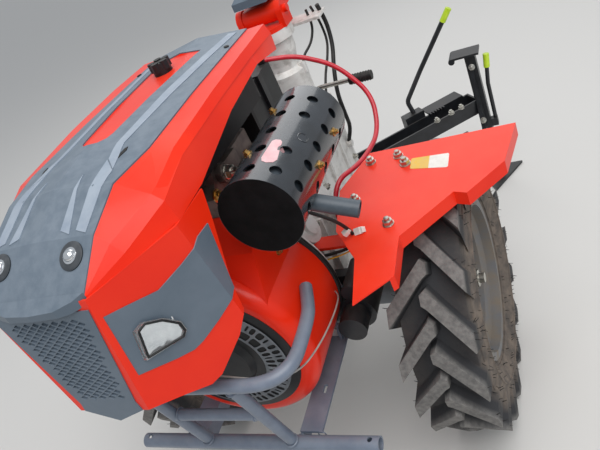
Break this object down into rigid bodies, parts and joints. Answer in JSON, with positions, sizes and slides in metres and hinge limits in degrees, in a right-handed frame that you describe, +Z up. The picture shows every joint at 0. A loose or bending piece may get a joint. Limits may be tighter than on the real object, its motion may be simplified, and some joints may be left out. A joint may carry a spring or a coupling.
{
  "type": "two-wheel power tiller with a diesel engine",
  "caption": "Walk-behind power tiller: bonneted diesel engine on tube-guarded rails, gearbox, lugged wheels, fenders, swing handlebars and a rear tool carrier.",
  "frame": {"origin": "middle of the bounding box, on the ground", "axes": "+X forward, towards the nose; +Y to the machine's left; +Z up"},
  "size_m": [1.8262, 1, 0.9831],
  "materials": {
    "red_paint": "gloss orange-red paint",
    "grey_plastic": "blue-grey moulded plastic, satin",
    "blue_grey_paint": "blue-grey enamel",
    "black_paint": "black powder coat",
    "gloss_black": "gloss black heat paint",
    "cast_alloy": "as-cast aluminium",
    "cast_iron_grey": "grey-painted cast iron",
    "wheel_paint": "grey wheel enamel under dust",
    "steel": "bare machined steel",
    "tyre_rubber": "dusty farm tyre rubber",
    "black_rubber": "black rubber",
    "black_plastic": "black plastic",
    "lamp_lens": "clear lens",
    "red_cable": "red cable sheath"
  },
  "bodies": {
    "chassis": {"gearbox_case": "cast_alloy", "axle_housing_left": "cast_iron_grey", "axle_housing_right": "cast_iron_grey", "rear_hitch": "black_paint", "crankcase": "cast_alloy", "cylinder_and_head": "cast_alloy", "fan_shroud": "red_paint", "recoil_cover": "black_plastic", "muffler": "gloss_black", "muffler_guard": "gloss_black", "air_filter": "black_plastic", "starter_motor": "black_paint", "fuel_tank": "black_plastic", "tank_bracket": "cast_alloy", "fuel_cap": "black_plastic", "battery": "black_plastic", "battery_tray": "steel", "bonnet_shell": "red_paint", "bonnet_panel": "grey_plastic", "nose_mask": "red_paint", "grille": "grey_plastic", "side_panel_left": "grey_plastic", "side_panel_right": "grey_plastic", "headlamp_left": "lamp_lens", "headlamp_right": "lamp_lens", "guard_cross_tube": "blue_grey_paint", "guard_strut_left": "blue_grey_paint", "guard_strut_right": "blue_grey_paint", "guard_mid_tube": "blue_grey_paint", "guard_hoop": "blue_grey_paint", "battery_cable": "red_cable", "control_cables": "black_rubber", "shift_lever": "steel", "shift_grip": "black_rubber", "engine_rail_left": "blue_grey_paint", "engine_rail_right": "blue_grey_paint", "fender_left": "red_paint", "fender_right": "red_paint", "carrier_beam": "black_paint", "carrier_lever": "black_paint", "carrier_post": "black_paint", "post_lever": "black_paint"},
    "wheel_left": {"tyre_left": "tyre_rubber", "rim_left": "wheel_paint", "hub_left": "steel"},
    "wheel_right": {"tyre_right": "tyre_rubber", "rim_right": "wheel_paint", "hub_right": "steel"},
    "handle_base": {"handle_head": "red_paint"},
    "handle_set": {"handle_clamp": "red_paint", "control_console": "grey_plastic", "handlebar_left": "black_paint", "handlebar_right": "black_paint", "grip_left": "black_rubber", "grip_right": "black_rubber", "clutch_lever_left": "black_paint", "clutch_lever_right": "black_paint"}
  },
  "joints": [
    {"name": "left_wheel", "type": "hinge", "parent": "chassis", "child": "wheel_left", "pos_m": [0.3515, 0.332, 0.295], "axis": [0, 1, 0], "continuous": true},
    {"name": "right_wheel", "type": "hinge", "parent": "chassis", "child": "wheel_right", "pos_m": [0.3515, -0.332, 0.295], "axis": [0, 1, 0], "continuous": true},
    {"name": "handle_swing", "type": "hinge", "parent": "chassis", "child": "handle_base", "pos_m": [0.0115, 0, 0.807], "axis": [0, 0, 1], "range_deg": [-28, 28]},
    {"name": "handle_height", "type": "hinge", "parent": "handle_base", "child": "handle_set", "pos_m": [0.0115, 0, 0.841], "axis": [0, 1, 0], "range_deg": [-12, 30]}
  ]
}
